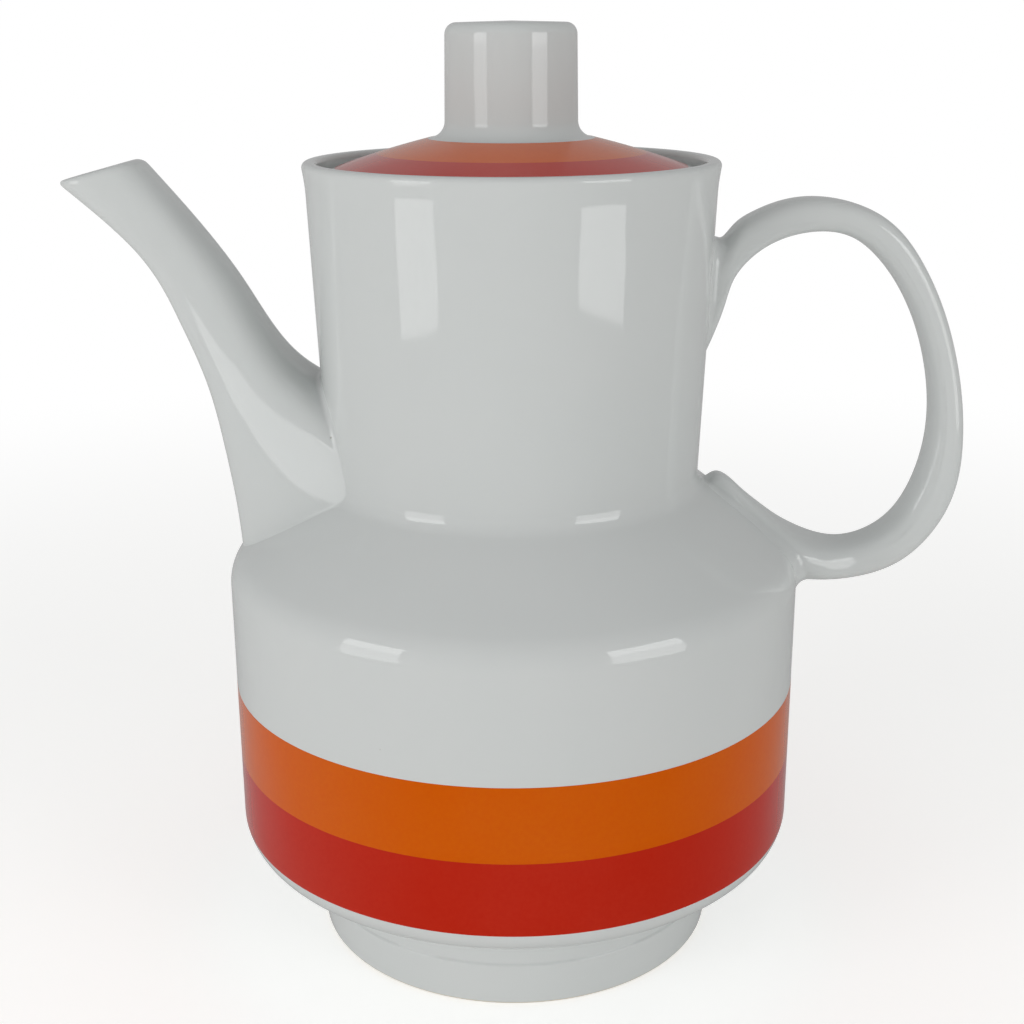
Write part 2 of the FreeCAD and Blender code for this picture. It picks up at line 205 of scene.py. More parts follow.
def as_plain_mesh(piece):
    """Applies the piece's modifiers."""
    depsgraph = bpy.context.evaluated_depsgraph_get()
    mesh = bpy.data.meshes.new_from_object(piece.evaluated_get(depsgraph))
    piece.modifiers.clear()
    piece.data = mesh
    facing_out(mesh)


def new_piece(name, points, edges=(), faces=()):
    """An object at the origin from points in millimetres."""
    mesh = bpy.data.meshes.new(name)
    mesh.from_pydata((np.array(points) * MM).tolist(), edges, faces)
    piece = bpy.data.objects.new(name, mesh)
    bpy.context.scene.collection.objects.link(piece)
    return piece


def turned(name, outline, finish, closed=False):
    """A piece whose outline is turned about the pot's axis."""
    count = len(outline)
    edges = [(index, index + 1) for index in range(count - 1)]
    if closed:
        edges.append((count - 1, 0))
    piece = new_piece(name, [(radius, 0, height) for radius, height in outline], edges)
    turning = piece.modifiers.new("turning", "NODES")
    turning.node_group = TURNING
    sockets = TURNING.interface.items_tree
    inputs = {socket.name: socket.identifier for socket in sockets if socket.in_out == "INPUT"}
    turning[inputs["Segments"]] = SEGMENTS
    turning[inputs["Finish"]] = finish
    as_plain_mesh(piece)
    return piece


def linear(code):
    """Linear colour of an sRGB hex code."""
    channels = [int(code[index:index + 2], 16) / 255 for index in (1, 3, 5)]
    return tuple(((c + 0.055) / 1.055) ** 2.4 if c > 0.04045 else c / 12.92 for c in channels) + (1.0,)


def new_finish(name):
    """An empty material, its node tree and the place on the piece in millimetres."""
    finish = bpy.data.materials.new(name)
    finish.use_nodes = True
    tree = finish.node_tree
    tree.nodes.clear()
    where = add_node(tree, "ShaderNodeTexCoord", {}, {})
    scaled = add_node(tree, "ShaderNodeVectorMath", {"operation": "SCALE"}, {
        "Vector": (where, "Object"),
        "Scale": 1 / MM,
    })
    return finish, tree, (scaled, "Vector")


# Clear glaze on white porcelain: white through and through, with a glassy skin. The glaze pools a little
# thicker here and thinner there, which gives faint clouds of tone and a slow wave that bends reflections.
PORCELAIN_WHITE = "#D6D8D7"
PORCELAIN_POOLED = "#D1D5D4"
BARE_BISCUIT = "#D8D2C6"
GLAZE_IOR = 1.5
GLAZE_ROUGHNESS = 0.05
BISCUIT_ROUGHNESS = 0.75
GLAZE_CLOUD = 38.0            # width of a cloud of tone
CLOUD_RANGE = (0.3, 0.7)      # the noise value in the thin and in the thick of a cloud
SHEEN_RANGE = (0.8, 1.3)      # roughness varies between these multiples over the clouds
GLAZE_WAVE = 26.0             # length of the glaze's slow wave
GLAZE_WAVE_DEPTH = 0.42       # bump height of the wave's noise
GLAZE_PEEL = 2.2              # width of the fine dimples in the glaze
GLAZE_PEEL_DEPTH = 0.001
SPECK_SPACING = 17.0
SPECK_RADIUS = 0.22
SPECK_FADE = (1.6, 0.4)       # a speck fades in between these multiples of its radius
SPECK_STRENGTH = 0.7
SPECK_GREY = "#8F8C84"
WIPED_HEIGHT = 0.7            # the glaze is wiped off below this
WIPED_EDGE = 0.2              # width of the wiped edge


def glazed_porcelain():
    """White porcelain under clear glaze, with small kiln specks, bare where the foot stands."""
    finish, tree, place = new_finish("clear_glaze_on_porcelain")
    cloud = add_node(tree, "ShaderNodeTexNoise", {}, {
        "Vector": place, "Scale": 1 / GLAZE_CLOUD, "Detail": 2.0, "Roughness": 0.5,
    })
    tone = add_node(tree, "ShaderNodeMix", {"data_type": "RGBA"}, {
        0: (cloud, 0), 6: linear(PORCELAIN_WHITE), 7: linear(PORCELAIN_POOLED),
    })
    specks = add_node(tree, "ShaderNodeTexVoronoi", {}, {
        "Vector": place, "Scale": 1 / SPECK_SPACING, "Randomness": 1.0,
    })
    speck = add_node(tree, "ShaderNodeMapRange", {"interpolation_type": "SMOOTHSTEP"}, {
        "Value": (specks, "Distance"),
        "From Min": SPECK_RADIUS / SPECK_SPACING * SPECK_FADE[0],
        "From Max": SPECK_RADIUS / SPECK_SPACING * SPECK_FADE[1],
        "To Min": 0.0, "To Max": SPECK_STRENGTH,
    })
    specked = add_node(tree, "ShaderNodeMix", {"data_type": "RGBA"}, {
        0: (speck, "Result"), 6: (tone, 2), 7: linear(SPECK_GREY),
    })
    parts = add_node(tree, "ShaderNodeSeparateXYZ", {}, {"Vector": place})
    bare = add_node(tree, "ShaderNodeMapRange", {}, {
        "Value": (parts, "Z"),
        "From Min": WIPED_HEIGHT + WIPED_EDGE, "From Max": WIPED_HEIGHT, "To Min": 0.0, "To Max": 1.0,
    })
    colour = add_node(tree, "ShaderNodeMix", {"data_type": "RGBA"}, {
        0: (bare, "Result"), 6: (specked, 2), 7: linear(BARE_BISCUIT),
    })
    sheen = add_node(tree, "ShaderNodeMapRange", {}, {
        "Value": (cloud, 0),
        "From Min": CLOUD_RANGE[0], "From Max": CLOUD_RANGE[1],
        "To Min": GLAZE_ROUGHNESS * SHEEN_RANGE[0], "To Max": GLAZE_ROUGHNESS * SHEEN_RANGE[1],
    })
    roughness = add_node(tree, "ShaderNodeMix", {"data_type": "FLOAT"}, {
        0: (bare, "Result"), 2: (sheen, "Result"), 3: BISCUIT_ROUGHNESS,
    })
    wave = add_node(tree, "ShaderNodeTexNoise", {}, {
        "Vector": place, "Scale": 1 / GLAZE_WAVE, "Detail": 1.0,
    })
    waved = add_node(tree, "ShaderNodeBump", {}, {
        "Strength": 1.0, "Distance": GLAZE_WAVE_DEPTH * MM, "Height": (wave, 0),
    })
    peel = add_node(tree, "ShaderNodeTexNoise", {}, {
        "Vector": place, "Scale": 1 / GLAZE_PEEL, "Detail": 1.0,
    })
    dimpled = add_node(tree, "ShaderNodeBump", {}, {
        "Strength": 1.0, "Distance": GLAZE_PEEL_DEPTH * MM, "Height": (peel, 0),
        "Normal": (waved, "Normal"),
    })
    shader = add_node(tree, "ShaderNodeBsdfPrincipled", {}, {
        "Base Color": (colour, 2), "Roughness": (roughness, 0), "IOR": GLAZE_IOR,
        "Normal": (dimpled, "Normal"),
    })
    add_node(tree, "ShaderNodeOutputMaterial", {}, {"Surface": (shader, "BSDF")})
    return finish


PORCELAIN = glazed_porcelain()

foot_top_radius = FOOT_RADIUS + FOOT_LEAN
foot_neck_radius = foot_top_radius - FOOT_STEP
rim_inside = RIM_RADIUS - RIM_THICKNESS
pot_outside = [
    (FOOT_RADIUS, 0, FOOT_EDGE),
    (foot_top_radius, FOOT_STEP_HEIGHT, FOOT_STEP_ROUNDING),
    (foot_neck_radius, FOOT_STEP_HEIGHT + FOOT_STEP, FOOT_STEP_ROUNDING),
    (foot_neck_radius, FOOT_HEIGHT, FOOT_COVE),
    (BELLY_RADIUS, UNDERSIDE_EDGE, BELLY_TURN),
    (BELLY_RADIUS, SHOULDER_EDGE, SHOULDER_ROUNDING),
    (NECK_RADIUS, NECK_FOOT, NECK_ROUNDING),
    (FLARE_RADIUS, FLARE_FOOT, FLARE_ROUNDING),
    (RIM_RADIUS, RIM_TOP, RIM_ROUNDING),
]
pot_inside = [
    (rim_inside, RIM_TOP, RIM_ROUNDING),
    (rim_inside, LEDGE_TOP, LEDGE_EDGE),
    (rim_inside - LEDGE_WIDTH, LEDGE_TOP, LEDGE_EDGE),
    (rim_inside - LEDGE_WIDTH, LEDGE_BOTTOM, LEDGE_EDGE),
    (FLARE_RADIUS - WALL, LEDGE_ROOT, WALL),
    (NECK_RADIUS - WALL, NECK_FOOT - WALL / 2, NECK_ROUNDING + WALL),
    (BELLY_RADIUS - WALL, SHOULDER_EDGE - WALL / 2, SHOULDER_ROUNDING - WALL),
    (BELLY_RADIUS - WALL, UNDERSIDE_EDGE + WALL, BELLY_TURN - WALL),
    (foot_neck_radius - WALL, FOOT_HEIGHT + WALL, FOOT_COVE),
    (foot_neck_radius - WALL, FLOOR_HEIGHT, WALL),
    (0, FLOOR_HEIGHT, 0),
]
pot_recess = [
    (0, RECESS_DEPTH, 0),
    (FOOT_RADIUS - FOOT_WIDTH, RECESS_DEPTH, FOOT_EDGE),
    (FOOT_RADIUS - FOOT_WIDTH, 0, FOOT_EDGE),
]
pot_body = turned("pot_body_glazed", rounded(pot_recess + pot_outside + pot_inside), PORCELAIN)


def cut_away(piece, name, points, faces):
    """Cuts a closed tool shape out of a piece."""
    tool = new_piece(name, points, (), faces)
    facing_out(tool.data)
    cut = piece.modifiers.new(name, "BOOLEAN")
    cut.object = tool
    cut.solver = "MANIFOLD"
    as_plain_mesh(piece)
    bpy.data.objects.remove(tool)


def prism_faces(sides):
    """Faces of a prism whose points are its foot's, then its top's."""
    faces = []
    for side in range(sides):
        following = (side + 1) % sides
        faces.append([side, following, sides + following, sides + side])
    return faces + [list(range(sides)), list(range(sides, 2 * sides))]


def rod(start, along, radius, sides):
    """Points and faces of a round rod from one point to another."""
    along = Vector(along)
    turn = along.to_track_quat("Z", "Y")
    points = []
    for share in (0, 1):
        for side in range(sides):
            angle = 2 * math.pi * side / sides
            spot = turn @ Vector((radius * math.cos(angle), radius * math.sin(angle), 0))
            points.append(Vector(start) + along * share + spot)
    return points, prism_faces(sides)


hole_outwards = Vector((-math.cos(POURING_HOLE_TILT), 0, math.sin(POURING_HOLE_TILT)))
hole_start = Vector((-NECK_RADIUS, 0, NECK_FOOT - WALL)) - hole_outwards * HOLE_REACH
pouring_hole = rod(hole_start, hole_outwards * 2 * HOLE_REACH, POURING_HOLE_RADIUS, HOLE_SIDES)
cut_away(pot_body, "pouring_hole", *pouring_hole)
notch_turns = np.linspace(-NOTCH_HALF_ANGLE, NOTCH_HALF_ANGLE, NOTCH_STEPS)
notch_plan = [(-NOTCH_RADIUS * math.cos(turn), NOTCH_RADIUS * math.sin(turn)) for turn in notch_turns]
notch_front = NOTCH_RADIUS - NOTCH_DEPTH
notch_plan += [(-notch_front * math.cos(turn), notch_front * math.sin(turn)) for turn in notch_turns[::-1]]
notch_points = [(x, y, height) for height in (LEDGE_ROOT, RIM_TOP) for x, y in notch_plan]
cut_away(pot_body, "lug_notch", notch_points, prism_faces(len(notch_plan)))
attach(pot_body, "pot")
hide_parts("pot_body")


# Enamel bands
# Two stripes of fired enamel, a red one that runs down on the belly's turn and an orange one right above.
# Each is painted on the glaze on a turntable and fired again, so it stands a hair proud of the glaze.
END_GAP = 0.072               # points nearer than this to the end of a stretch are left out
RED_BAND_BOTTOM = 28.7
RED_BAND_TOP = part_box("red_band")[1].z / MM
ORANGE_BAND_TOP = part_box("orange_band")[1].z / MM
ENAMEL_PROUD = 0.03           # the coat stands this far out of the glaze
ENAMEL_DEPTH = 0.25           # and reaches this far in
ENAMEL_ROUGHNESS = 0.12
ENAMEL_IOR = 1.52
ENAMEL_GRAIN = 0.9            # width of the pigment's clouds
ENAMEL_STREAK = 30.0          # width of a brush load
ENAMEL_THINNING = (0.1, 0.45)   # product of both noises where the coat is full and where it is thin
ORANGE_ENAMEL = "#D25900"
ORANGE_ENAMEL_THIN = "#D45F00"
RED_ENAMEL = "#BC2410"
RED_ENAMEL_THIN = "#BF2915"


def fired_enamel(name, full, thin):
    """Opaque enamel colour, glossy, with faint clouds where the coat is thinner."""
    finish, tree, place = new_finish(name)
    streaks = add_node(tree, "ShaderNodeTexNoise", {}, {
        "Vector": place, "Scale": 1 / ENAMEL_STREAK, "Detail": 3.0,
    })
    grain = add_node(tree, "ShaderNodeTexNoise", {}, {
        "Vector": place, "Scale": 1 / ENAMEL_GRAIN, "Detail": 1.0,
    })
    thinness = add_node(tree, "ShaderNodeMath", {"operation": "MULTIPLY"}, {0: (streaks, 0), 1: (grain, 0)})
    spread = add_node(tree, "ShaderNodeMapRange", {}, {
        "Value": (thinness, 0), "From Min": ENAMEL_THINNING[0], "From Max": ENAMEL_THINNING[1],
        "To Min": 0.0, "To Max": 1.0,
    })
    colour = add_node(tree, "ShaderNodeMix", {"data_type": "RGBA"}, {
        0: (spread, "Result"), 6: linear(full), 7: linear(thin),
    })
    roughness = add_node(tree, "ShaderNodeMapRange", {}, {
        "Value": (streaks, 0), "From Min": CLOUD_RANGE[0], "From Max": CLOUD_RANGE[1],
        "To Min": ENAMEL_ROUGHNESS * SHEEN_RANGE[0], "To Max": ENAMEL_ROUGHNESS * SHEEN_RANGE[1],
    })
    wave = add_node(tree, "ShaderNodeTexNoise", {}, {
        "Vector": place, "Scale": 1 / GLAZE_WAVE, "Detail": 1.0,
    })
    waved = add_node(tree, "ShaderNodeBump", {}, {
        "Strength": 1.0, "Distance": GLAZE_WAVE_DEPTH * MM, "Height": (wave, 0),
    })
    shader = add_node(tree, "ShaderNodeBsdfPrincipled", {}, {
        "Base Color": (colour, 2), "Roughness": (roughness, "Result"), "IOR": ENAMEL_IOR,
        "Normal": (waved, "Normal"),
    })
    add_node(tree, "ShaderNodeOutputMaterial", {}, {"Surface": (shader, "BSDF")})
    return finish


ORANGE = fired_enamel("orange_fired_enamel", ORANGE_ENAMEL, ORANGE_ENAMEL_THIN)
RED = fired_enamel("red_fired_enamel", RED_ENAMEL, RED_ENAMEL_THIN)


def stretch(outline, column, low, high):
    """The part of an outline whose radius (column 0) or height (column 1) lies between two values."""
    values = outline[:, column]
    order = np.sign(values[-1] - values[0])
    ends = [low, high] if order > 0 else [high, low]
    other = 1 - column
    inner = outline[(values > low + END_GAP) & (values < high - END_GAP)]
    marks = [np.interp(order * end, order * values, outline[:, other]) for end in ends]
    first = [ends[0], marks[0]] if column == 0 else [marks[0], ends[0]]
    last = [ends[1], marks[1]] if column == 0 else [marks[1], ends[1]]
    return np.vstack([first, inner, last])


def normals_of(outline):
    """Normals on the right of an outline, outwards where it runs upwards."""
    along = np.gradient(outline, axis=0)
    right = np.column_stack([along[:, 1], -along[:, 0]])
    return right / np.linalg.norm(right, axis=1)[:, None]


def painted_on(name, surface, finish):
    """A thin turned coat on a stretch of a surface's outline."""
    out = normals_of(surface)
    coat = np.vstack([surface + out * ENAMEL_PROUD, (surface - out * ENAMEL_DEPTH)[::-1]])
    return turned(name, coat, finish, closed=True)


pot_outline = rounded([(0, 0, 0)] + pot_outside + [(0, RIM_TOP, 0)])
above_foot = pot_outline[pot_outline[:, 0] > foot_top_radius + FOOT_COVE]
belly_outline = stretch(above_foot, 1, RED_BAND_BOTTOM, SHOULDER_EDGE - SHOULDER_ROUNDING)
red_stretch = stretch(belly_outline, 1, RED_BAND_BOTTOM, RED_BAND_TOP)
orange_stretch = stretch(belly_outline, 1, RED_BAND_TOP, ORANGE_BAND_TOP)
red_band = painted_on("red_band_enamel", red_stretch, RED)
orange_band = painted_on("orange_band_enamel", orange_stretch, ORANGE)
for band, node, slot in [
    (red_band, "red_band", "red_enamel"),
    (orange_band, "orange_band", "orange_enamel"),
]:
    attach(band, "pot")
    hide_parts(node)


# Spout
# Porcelain, cast hollow by itself, cut to fit the shoulder and the neck and luted on with slip. The glaze
# fills the seam to a fine hollow, and the lip is fettled round. A station is (front out, front up, back out,
# back up, half width): out from the belly or the rim, up from the shoulder's edge or the rim's top.
SPOUT_WALL = 2.8
SPOUT_SQUARENESS = 3.0        # 2 is an oval section, more is squarer
LIP_FRONT = 3.0               # the lip is thin in front, so that it doesn't drip
LIP_SIDE = 2.4
LIP_BACK = 3.6
SPOUT_EGG = 0.56              # the root's section is this much narrower in front and wider behind
EGG_FADE = 1.5                # power by which that fades towards the lip
SPOUT_FLARE = 0.05            # widening of the spout where it meets the neck
SPOUT_FLARE_REACH = 11.0
WALL_CHANGE = 3               # power by which the wall turns into the lip's
LIP_STEPS = 12
LIP_BULGE = 2.3               # reach of the lip's rounding
SPOUT_SEAM = 0.9              # radius of the hollow along the seam
SPOUT_SIDE_SEAM = 1.5         # the hollow's radius is this much larger where the sides meet the neck
SIDE_SEAM_RISE = (0.0, 8.0, 14.0, 22.0)   # heights above the neck's foot where that starts, is full and ends
SEAM_DIP = 0.08               # the seam's thin edge is let into the glaze by this
SEAM_COSINES = (-0.5, 0.999)  # a seam is worked out for meeting angles with cosines in this range
SEAM_PASSES = 3
SPOUT_COLUMNS = 144
SPOUT_ROWS = 130
ROOT_CROWDING = 1.7           # power by which the rows crowd towards the root
CHANNEL_ROWS = 60
NORMAL_STEP = 0.05            # along, in millimetres, and round, in radians
TRAIL_STEPS = 500             # steps along a tube in the search for its way out of the pot
SUNK = 0.15                   # how far the root's hidden edge lies below the pot's surface
SPOUT_ROOT = [
    (-2.7, -4.0, -52.0, -1.5, 20.6),
    (-1.9, 9.5, -50.0, 16.5, 19.8),
    (0.0, 23.9, -33.0, 33.2, 15.6),
    (2.8, 38.0, -17.0, 43.4, 11.5),
]
SPOUT_MOUTH = [
    (27.6, -34.0, 14.1, -25.8, 8.6),
    (36.2, -18.5, 26.3, -8.9, 7.6),
    (50.3, -5.25, 33.0, -0.8, 7.2),
]


def spline(knots, values, at):
    """Natural cubic spline through values at the knots."""
    count = len(knots)
    gaps = np.diff(knots)
    system = np.eye(count)
    right = np.zeros_like(values)
    slopes = np.diff(values, axis=0) / gaps[:, None]
    for index in range(1, count - 1):
        before, after = gaps[index - 1], gaps[index]
        system[index, index - 1:index + 2] = before, 2 * (before + after), after
        right[index] = 6 * (slopes[index] - slopes[index - 1])
    bend = np.linalg.solve(system, right)
    cell = np.clip(np.searchsorted(knots, at, side="right") - 1, 0, count - 2)
    gap = gaps[cell][:, None]
    before = (knots[cell + 1] - at)[:, None]
    after = (at - knots[cell])[:, None]
    curved = (bend[cell] * before ** 3 + bend[cell + 1] * after ** 3) / (6 * gap)
    straight = (values[cell] / gap - bend[cell] * gap / 6) * before
    straight = straight + (values[cell + 1] / gap - bend[cell + 1] * gap / 6) * after
    return curved + straight


def placed(stations, radius, height, side):
    """Stations as rows of (front x, front z, back x, back z, half width)."""
    table = np.array(stations)
    return np.column_stack([
        side * (radius + table[:, 0]), height + table[:, 1],
        side * (radius + table[:, 2]), height + table[:, 3], table[:, 4],
    ])


class Skin:
    """Smooth tube through a row of stations; its root can be egg-shaped and flare at the neck."""

    def __init__(self, stations, squareness=2.0, egg=0.0, flare=0.0, flare_reach=1.0):
        self.squareness = squareness
        self.egg = egg
        self.flare = flare
        self.flare_reach = flare_reach
        middles = (stations[:, 0:2] + stations[:, 2:4]) / 2
        self.stations = stations
        self.knots = np.concatenate([[0], np.cumsum(np.linalg.norm(np.diff(middles, axis=0), axis=1))])
        self.length = self.knots[-1]

    def station(self, along):
        """Stations at distances along the tube."""
        rows = spline(self.knots, self.stations, along.ravel())
        return rows.reshape(along.shape + rows.shape[1:])

    def at(self, along, around):
        """Points at distances along the tube and angles round it."""
        rows = self.station(along)
        middle = (rows[..., 0:2] + rows[..., 2:4]) / 2
        across = (rows[..., 0:2] - rows[..., 2:4]) / 2
        ahead, aside = np.cos(around), np.sin(around)
        fuller = 2 / self.squareness
        lead = np.sign(ahead) * np.abs(ahead) ** fuller
        level = middle + across * lead[..., None]
        sideways = rows[..., 4] * np.sign(aside) * np.abs(aside) ** fuller
        rest = np.clip(1 - along / self.length, 0, 1)
        sideways = sideways * (1 - self.egg * rest ** EGG_FADE * lead)
        up_neck = (level[..., 1] - NECK_FOOT) / (RIM_TOP - NECK_FOOT)
        gap = np.hypot(level[..., 0], sideways) - (NECK_RADIUS + (RIM_RADIUS - NECK_RADIUS) * up_neck)
        sideways = sideways * (1 + self.flare * np.clip(1 - gap / self.flare_reach, 0, 1) ** 2)
        return np.stack([level[..., 0], sideways, level[..., 1]], axis=-1)

    def normal(self, along, around):
        """Outward normals of the tube."""
        lengthwise = self.at(along + NORMAL_STEP, around) - self.at(along - NORMAL_STEP, around)
        crosswise = self.at(along, around + NORMAL_STEP) - self.at(along, around - NORMAL_STEP)
        normal = np.cross(crosswise, lengthwise)
        normal = normal / np.linalg.norm(normal, axis=-1)[..., None]
        rows = self.station(along)
        middle = (rows[..., 0:2] + rows[..., 2:4]) / 2
        out = self.at(along, around) - np.stack([middle[..., 0], 0 * around, middle[..., 1]], axis=-1)
        return normal * np.sign((normal * out).sum(-1))[..., None]


seat_outline = pot_outline[(pot_outline[:, 0] > NECK_RADIUS / 2) & (pot_outline[:, 1] > UNDERSIDE_EDGE)]
seat_normals = normals_of(seat_outline)


def off_the_pot(points):
    """Signed distance of points from the pot's outside, and the outside's normals there."""
    flat = points.reshape(-1, 3)
    radius = np.hypot(flat[:, 0], flat[:, 1])
    spots = np.column_stack([radius, flat[:, 2]])
    starts = seat_outline[:-1]
    runs = np.diff(seat_outline, axis=0)
    share = ((spots[:, None, :] - starts) * runs).sum(-1) / (runs ** 2).sum(-1)
    share = np.clip(share, 0, 1)
    nearest = starts + share[..., None] * runs
    reach = np.linalg.norm(spots[:, None, :] - nearest, axis=-1)
    best = reach.argmin(axis=1)
    picked = np.arange(len(flat))
    blend = share[picked, best][:, None]
    normal = seat_normals[best] * (1 - blend) + seat_normals[best + 1] * blend
    normal = normal / np.linalg.norm(normal, axis=1)[:, None]
    distance = ((spots - nearest[picked, best]) * normal).sum(-1)
    bearing = flat[:, :2] / radius[:, None]
    normal = np.column_stack([bearing * normal[:, :1], normal[:, 1]])
    return distance.reshape(points.shape[:-1]), normal.reshape(points.shape)


def emerging(skin, around, from_start):
    """Where each line of the tube comes out of the pot, from its start or its end."""
    trail = np.linspace(0, skin.length, TRAIL_STEPS)
    found = []
    for angle in around:
        distance = off_the_pot(skin.at(trail, np.full_like(trail, angle)))[0]
        half = len(trail) // 2
        if from_start:
            last = np.flatnonzero(distance[:half] < 0)[-1]
        else:
            last = half + np.flatnonzero(distance[half:] < 0)[0] - 1
        share = distance[last] / (distance[last] - distance[last + 1])
        found.append(trail[last] + share * (trail[last + 1] - trail[last]))
    return np.array(found)


def with_seam(skin, along, around, radius):
    """Points of the tube, spread on the pot's surface in a hollow seam of that radius."""
    points = skin.at(along, around)
    distance, pot_normal = off_the_pot(points)
    own_normal = skin.normal(along, around)
    cosine = np.clip((own_normal * pot_normal).sum(-1), *SEAM_COSINES)
    meeting = np.arccos(cosine)
    spread = own_normal - cosine[..., None] * pot_normal
    spread = spread / np.linalg.norm(spread, axis=-1)[..., None]
    height = np.clip(distance, 0, radius * (1 - cosine))
    turn = np.arccos(np.clip(1 - height / radius, -1, 1))
    fade = (1 - height / (radius * (1 - cosine))) ** 2
    slide = radius * (np.tan(meeting / 2) - np.sin(turn)) + height / np.tan(meeting)
    moved = points + spread * slide[..., None]
    for _ in range(SEAM_PASSES):
        new_distance, new_normal = off_the_pot(moved)
        lift = np.where(slide > 0, np.maximum(distance, 0) - SEAM_DIP * fade - new_distance, 0)
        moved = moved + new_normal * lift[..., None]
    return moved


def sunk(row):
    """A row of root points let into the pot's surface, out of sight."""
    distance, normal = off_the_pot(row)
    return row - normal * (distance + SUNK)[:, None]


def grid_piece(name, rows, closed_rows):
    """A tube mesh from rows of points; its rows close on themselves, or its ends are capped."""
    count, columns = rows.shape[:2]
    points = rows.reshape(-1, 3).tolist()
    faces = []
    for row in range(count if closed_rows else count - 1):
        low = row * columns
        high = (row + 1) % count * columns
        for column in range(columns):
            following = (column + 1) % columns
            faces.append((low + column, low + following, high + following, high + column))
    if not closed_rows:
        for row in (0, count - 1):
            middle = len(points)
            points.append(rows[row].mean(axis=0).tolist())
            for column in range(columns):
                faces.append((row * columns + column, row * columns + (column + 1) % columns, middle))
    piece = new_piece(name, points, (), faces)
    facing_out(piece.data)
    return piece


spout_stations = np.vstack([
    placed(SPOUT_ROOT, BELLY_RADIUS, SHOULDER_EDGE, -1),
    placed(SPOUT_MOUTH, RIM_RADIUS, RIM_TOP, -1),
])
spout_skin = Skin(spout_stations, SPOUT_SQUARENESS, SPOUT_EGG, SPOUT_FLARE, SPOUT_FLARE_REACH)
spout_around = 2 * math.pi * np.arange(SPOUT_COLUMNS) / SPOUT_COLUMNS
root_along = emerging(spout_skin, spout_around, True)
steps = np.linspace(0, 1, SPOUT_ROWS)[:, None] ** ROOT_CROWDING
outer_along = root_along + (spout_skin.length - root_along) * steps
outer_around = np.broadcast_to(spout_around, outer_along.shape)
seam_heights = [NECK_FOOT + rise for rise in SIDE_SEAM_RISE]
side_seams = [0, SPOUT_SIDE_SEAM, SPOUT_SIDE_SEAM, 0]
seam = np.interp(spout_skin.at(outer_along, outer_around)[..., 2], seam_heights, side_seams)
seam = SPOUT_SEAM + seam * np.sin(outer_around) ** 2
outer_rows = with_seam(spout_skin, outer_along, outer_around, seam)

wall_share = np.linspace(0, 1, len(spout_stations))[:, None] ** WALL_CHANGE
inset = SPOUT_WALL + (np.array([LIP_FRONT, LIP_BACK, LIP_SIDE]) - SPOUT_WALL) * wall_share
inwards = spout_stations[:, 2:4] - spout_stations[:, 0:2]
inwards = inwards / np.linalg.norm(inwards, axis=1)[:, None]
channel_stations = np.column_stack([
    spout_stations[:, 0:2] + inwards * inset[:, 0:1],
    spout_stations[:, 2:4] - inwards * inset[:, 1:2],
    spout_stations[:, 4] - inset[:, 2],
])
channel_skin = Skin(channel_stations, SPOUT_SQUARENESS, SPOUT_EGG)
channel_root = emerging(channel_skin, spout_around, True)
steps = np.linspace(1, 0, CHANNEL_ROWS)[:, None]
channel_along = channel_root + (channel_skin.length - channel_root) * steps
channel_rows = channel_skin.at(channel_along, np.broadcast_to(spout_around, channel_along.shape))


def heading(rows):
    """Unit steps from the first to the second of two rows."""
    step = rows[1] - rows[0]
    return step / np.linalg.norm(step, axis=1)[:, None]


lip_start, lip_end = outer_rows[-1], channel_rows[0]
lip_out = lip_start + heading(outer_rows[-2:]) * LIP_BULGE
lip_in = lip_end + heading(channel_rows[1::-1]) * LIP_BULGE
lip_rows = []                 # on cubic curves from the outside to the channel
for share in np.linspace(0, 1, LIP_STEPS + 1)[1:-1]:
    start = (1 - share) ** 3 * lip_start + 3 * share * (1 - share) ** 2 * lip_out
    lip_rows.append(start + 3 * share ** 2 * (1 - share) * lip_in + share ** 3 * lip_end)
spout_rows = np.concatenate([
    [sunk(outer_rows[0])], outer_rows, lip_rows, channel_rows, [sunk(channel_rows[-1])],
])
spout = grid_piece("spout_glazed", spout_rows, True)
spout.data.materials.append(PORCELAIN)
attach(spout, "pot")
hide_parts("spout")


# Handle
# An ear handle of the same porcelain, cast by itself and luted on with slip: its upper end tails off down
# the neck, its lower end spreads on the shoulder's edge and runs up the slope as a low tongue. Stations are
# as on the spout, with the outer and the inner edge for front and back.
HANDLE_SQUARENESS = 3.0       # flat faces with well rounded edges
HANDLE_COLUMNS = 240
HANDLE_ROWS = 300
END_CROWDING = 1.6            # power by which the rows crowd towards both ends
CREASE_STEPS = 400            # along and round, in the search for the crease at the root
CREASE_ANGLES = 181
NECK_SEAM = 2.0               # radii of the hollow along the seam, on the neck
NECK_SEAM_FOOT = NECK_FOOT + 5.0
SHOULDER_SEAM = 3.0           # and from the shoulder's edge up the tongue's back to its end
TONGUE_BACK_SEAM = 1.8
TONGUE_SEAM = 1.2
SEAM_PLACES = (NECK_RADIUS + 5.0, NECK_RADIUS + 11.0, BELLY_RADIUS - 4.0)   # from the tongue's end outwards
HANDLE_TOP = [
    (-6.3, -18.4, -5.0, -47.5, 7.0),
    (1.0, -16.9, 1.2, -31.7, 6.6),
    (3.9, -13.7, 3.0, -25.8, 6.3),
    (7.2, -11.5, 6.8, -20.9, 6.0),
    (20.1, -8.2, 20.7, -15.4, 5.5),
    (34.1, -11.9, 30.1, -17.6, 5.3),
    (43.7, -21.9, 38.2, -25.6, 5.3),
    (52.6, -42.9, 46.6, -44.7, 5.4),
]
